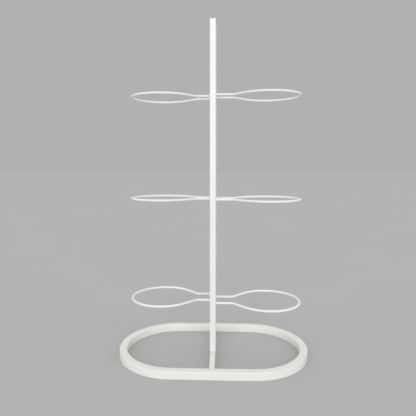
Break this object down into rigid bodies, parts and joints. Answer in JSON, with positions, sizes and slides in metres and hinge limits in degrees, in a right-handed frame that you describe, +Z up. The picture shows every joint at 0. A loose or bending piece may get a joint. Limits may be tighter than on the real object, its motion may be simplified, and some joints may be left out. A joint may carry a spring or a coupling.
{
  "type": "spool holder stand",
  "caption": "Free-standing white metal stand: racetrack tube base, flat upright post and tiers of open bent-rod rings on both sides that carry spools lying flat.",
  "frame": {"origin": "on the floor, under the middle of the racetrack base", "axes": "+Z up along the post, +X across the rings to the right, +Y from the front of the stand to its rear"},
  "size_m": [0.4999, 0.305, 0.874],
  "materials": {
    "base_coat": "white powder coat, satin, fine orange peel",
    "post_coat": "white powder coat, satin, fine orange peel",
    "rod_coat": "white powder coat, satin",
    "weld_coat": "powder-coated weld bead, slightly rippled",
    "plug_plastic": "moulded white plastic",
    "zinc_steel": "bright zinc plate",
    "plain_steel": "plain mild steel"
  },
  "bodies": {
    "root": {"base_ring": "base_coat", "base_seam_weld": "base_coat", "base_crossbar": "base_coat", "crossbar_weld_front": "weld_coat", "crossbar_weld_rear": "weld_coat", "post_tube": "post_coat", "post_foot_plate": "plain_steel", "post_plug": "plug_plastic", "base_screws": "zinc_steel", "base_washers": "zinc_steel", "ring_low_left": "rod_coat", "ring_low_right": "rod_coat", "ring_middle_left": "rod_coat", "ring_middle_right": "rod_coat", "ring_top_left": "rod_coat", "ring_top_right": "rod_coat", "ring_weld_low_left": "weld_coat", "ring_weld_low_right": "weld_coat", "ring_weld_middle_left": "weld_coat", "ring_weld_middle_right": "weld_coat", "ring_weld_top_left": "weld_coat", "ring_weld_top_right": "weld_coat"}
  },
  "joints": []
}
